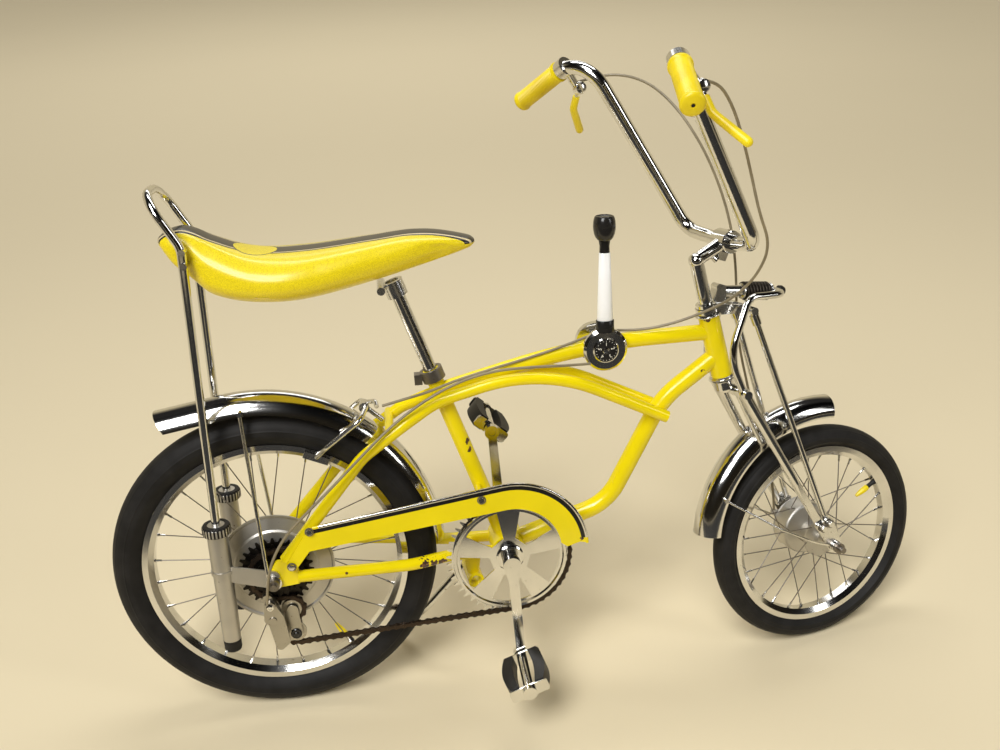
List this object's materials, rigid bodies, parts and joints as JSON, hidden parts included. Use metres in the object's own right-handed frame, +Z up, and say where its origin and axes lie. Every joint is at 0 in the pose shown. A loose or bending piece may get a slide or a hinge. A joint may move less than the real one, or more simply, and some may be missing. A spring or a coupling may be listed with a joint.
{
  "type": "chopper bicycle",
  "caption": "Yellow chopper bicycle with tall handlebars, long seat, sprung fork with a small front wheel, chrome fenders, top-tube gear lever and side stand",
  "frame": {"origin": "centre of the bounding box on the floor", "axes": "+X forward, +Y to the rider's left, +Z up, leaning on its side stand"},
  "size_m": [1.342, 0.5504, 1.0284],
  "materials": {
    "bottom_bracket_cups": "polished chrome plate",
    "bottom_bracket_shell": "glossy yellow enamel",
    "brake_levers": "polished chrome plate",
    "brake_plate": "polished chrome plate",
    "cantilever_tubes": "glossy yellow enamel",
    "chain": "dull steel",
    "chain_guard": "glossy yellow enamel",
    "chain_ring": "polished chrome plate",
    "chain_stays": "glossy yellow enamel",
    "crank": "polished chrome plate",
    "derailleur": "polished chrome plate",
    "down_tube": "glossy yellow enamel",
    "dropouts": "glossy yellow enamel",
    "fender_stays": "polished chrome plate",
    "fork": "polished chrome plate",
    "freewheel": "dull steel",
    "front_axle": "dull steel",
    "front_brake_cable": "cable housing",
    "front_fender": "polished chrome plate",
    "front_fender_stays": "polished chrome plate",
    "front_hub": "polished chrome plate",
    "front_rim": "polished chrome plate",
    "front_rods": "polished chrome plate",
    "front_spokes": "dull steel",
    "front_tyre": "black slick rubber",
    "grip_left": "glossy plastic",
    "grip_right": "glossy plastic",
    "handlebar": "polished chrome plate",
    "head_cups": "polished chrome plate",
    "head_tube": "glossy yellow enamel",
    "pedal_blocks_left": "moulded rubber",
    "pedal_blocks_right": "moulded rubber",
    "pedal_frame_left": "dull steel",
    "pedal_frame_right": "dull steel",
    "rear_axle": "dull steel",
    "rear_brake": "polished chrome plate",
    "rear_brake_cable": "cable housing",
    "rear_fender": "polished chrome plate",
    "rear_hub": "polished chrome plate",
    "rear_rim": "polished chrome plate",
    "rear_spokes": "dull steel",
    "rear_tyre": "black slick rubber",
    "rockers": "polished chrome plate",
    "saddle_bracket": "polished chrome plate",
    "seat": "glitter vinyl",
    "seat_clamp": "dull steel",
    "seat_post": "polished chrome plate",
    "seat_struts": "satin aluminium",
    "seat_tube": "glossy yellow enamel",
    "shift_cable": "cable housing",
    "shift_knob": "glossy black plastic",
    "shifter": "polished chrome plate",
    "sissy_bar": "polished chrome plate",
    "spring": "polished chrome plate",
    "spring_yoke": "polished chrome plate",
    "stand_housing": "glossy yellow enamel",
    "stand_leg": "polished chrome plate",
    "stay_bridge": "glossy yellow enamel",
    "stem": "polished chrome plate",
    "top_tube": "glossy yellow enamel"
  },
  "bodies": {
    "frame": {"bottom_bracket_cups": "bottom_bracket_cups", "bottom_bracket_shell": "bottom_bracket_shell", "cantilever_tubes": "cantilever_tubes", "chain": "chain", "chain_guard": "chain_guard", "chain_stays": "chain_stays", "derailleur": "derailleur", "down_tube": "down_tube", "dropouts": "dropouts", "fender_stays": "fender_stays", "freewheel": "freewheel", "head_cups": "head_cups", "head_tube": "head_tube", "rear_axle": "rear_axle", "rear_brake": "rear_brake", "rear_brake_cable": "rear_brake_cable", "rear_fender": "rear_fender", "saddle_bracket": "saddle_bracket", "seat": "seat", "seat_clamp": "seat_clamp", "seat_post": "seat_post", "seat_struts": "seat_struts", "seat_tube": "seat_tube", "shift_cable": "shift_cable", "shift_knob": "shift_knob", "shifter": "shifter", "sissy_bar": "sissy_bar", "stand_housing": "stand_housing", "stay_bridge": "stay_bridge", "top_tube": "top_tube"},
    "steering": {"fork": "fork", "rockers": "rockers", "spring_yoke": "spring_yoke", "spring": "spring", "front_rods": "front_rods", "front_axle": "front_axle", "brake_plate": "brake_plate", "front_fender": "front_fender", "stem": "stem", "handlebar": "handlebar", "grip_right": "grip_right", "grip_left": "grip_left", "brake_levers": "brake_levers", "front_brake_cable": "front_brake_cable", "front_fender_stays": "front_fender_stays"},
    "front_wheel": {"front_hub": "front_hub", "front_tyre": "front_tyre", "front_rim": "front_rim", "front_spokes": "front_spokes"},
    "rear_wheel": {"rear_hub": "rear_hub", "rear_tyre": "rear_tyre", "rear_rim": "rear_rim", "rear_spokes": "rear_spokes"},
    "crank_set": {"crank": "crank", "chain_ring": "chain_ring"},
    "right_pedal": {"pedal_frame_right": "pedal_frame_right", "pedal_blocks_right": "pedal_blocks_right"},
    "left_pedal": {"pedal_frame_left": "pedal_frame_left", "pedal_blocks_left": "pedal_blocks_left"},
    "stand": {"stand_leg": "stand_leg"}
  },
  "joints": [
    {"name": "steering_turn", "type": "hinge", "parent": "frame", "child": "steering", "pos_m": [0.28407, -0.02021, 0.59925], "axis": [-0.2303, 0.1186, 0.9659], "range_deg": [-63.7, 36.3], "deforming": ["rear_brake_cable"]},
    {"name": "front_wheel_spin", "type": "hinge", "parent": "steering", "child": "front_wheel", "pos_m": [0.48346, -0.04602, 0.18964], "axis": [-0.2305, 0.9577, -0.1725], "continuous": true},
    {"name": "rear_wheel_spin", "type": "hinge", "parent": "frame", "child": "rear_wheel", "pos_m": [-0.41722, -0.06281, 0.25231], "axis": [0, 0.9925, -0.1219], "continuous": true},
    {"name": "crank_spin", "type": "hinge", "parent": "frame", "child": "crank_set", "pos_m": [-0.04927, -0.06368, 0.24523], "axis": [0, 0.9925, -0.1219], "continuous": true},
    {"name": "right_pedal_spin", "type": "hinge", "parent": "crank_set", "child": "right_pedal", "pos_m": [-0.04204, -0.08377, 0.08162], "axis": [0, 0.9925, -0.1219], "continuous": true},
    {"name": "left_pedal_spin", "type": "hinge", "parent": "crank_set", "child": "left_pedal", "pos_m": [-0.05651, -0.04359, 0.40884], "axis": [0, 0.9925, -0.1219], "continuous": true},
    {"name": "stand_fold", "type": "hinge", "parent": "frame", "child": "stand", "pos_m": [-0.10973, -0.03049, 0.18727], "axis": [-0.1047, 0.9872, -0.1203], "range_deg": [0, 55]}
  ]
}
